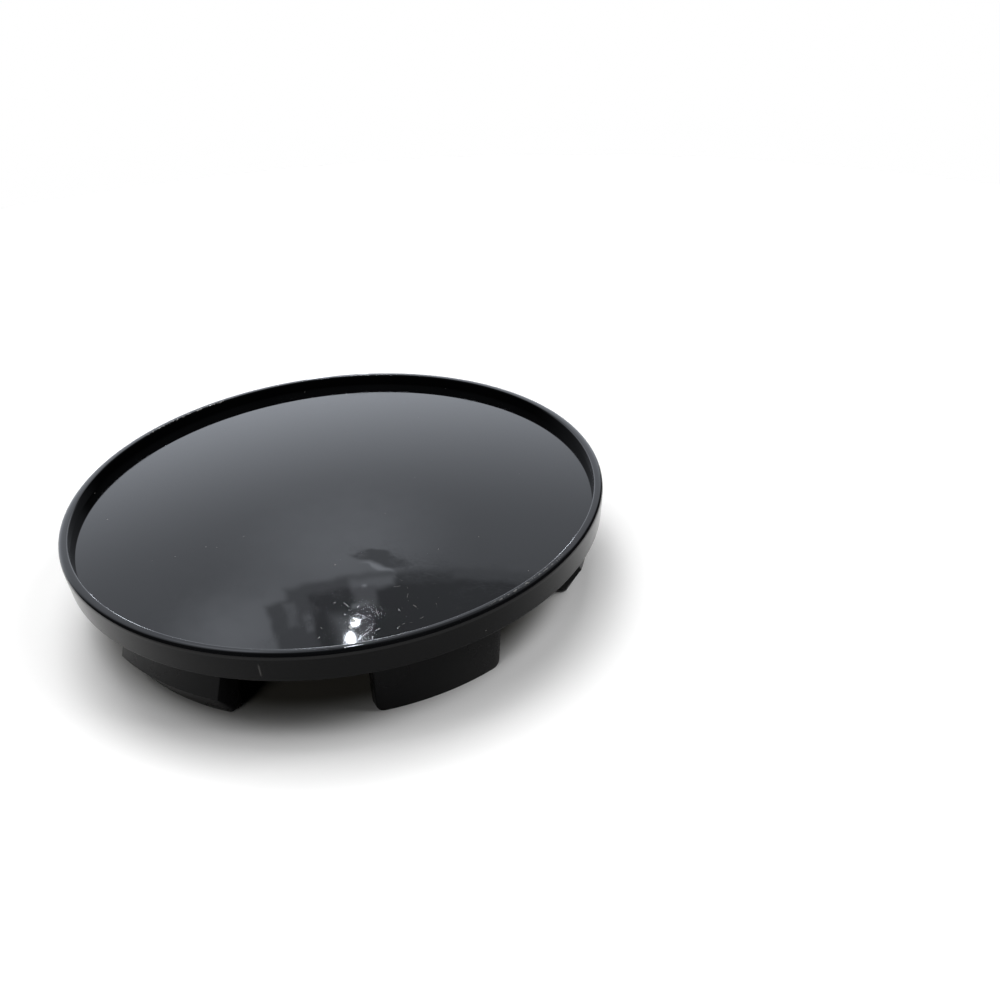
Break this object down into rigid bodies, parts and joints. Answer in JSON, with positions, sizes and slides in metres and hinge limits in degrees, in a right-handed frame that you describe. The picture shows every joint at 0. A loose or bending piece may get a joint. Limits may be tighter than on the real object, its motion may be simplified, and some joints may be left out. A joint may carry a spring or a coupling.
{
  "type": "wheel centre cap",
  "caption": "Round snap-in centre cap for a wheel: a domed glossy face in a raised rim, with a ring of spring clips and a ribbed back.",
  "frame": {"origin": "on the cap's axis, in the plane of the clips' free ends, which is the bottom centre of its box", "axes": "+Z along the axis, out of the wheel through the face; +X through the middle of a barbed clip"},
  "size_m": [0.06, 0.06, 0.011],
  "materials": {
    "black_plastic": "gloss"
  },
  "bodies": {
    "root": {"centre_cap": "black_plastic"}
  },
  "joints": []
}
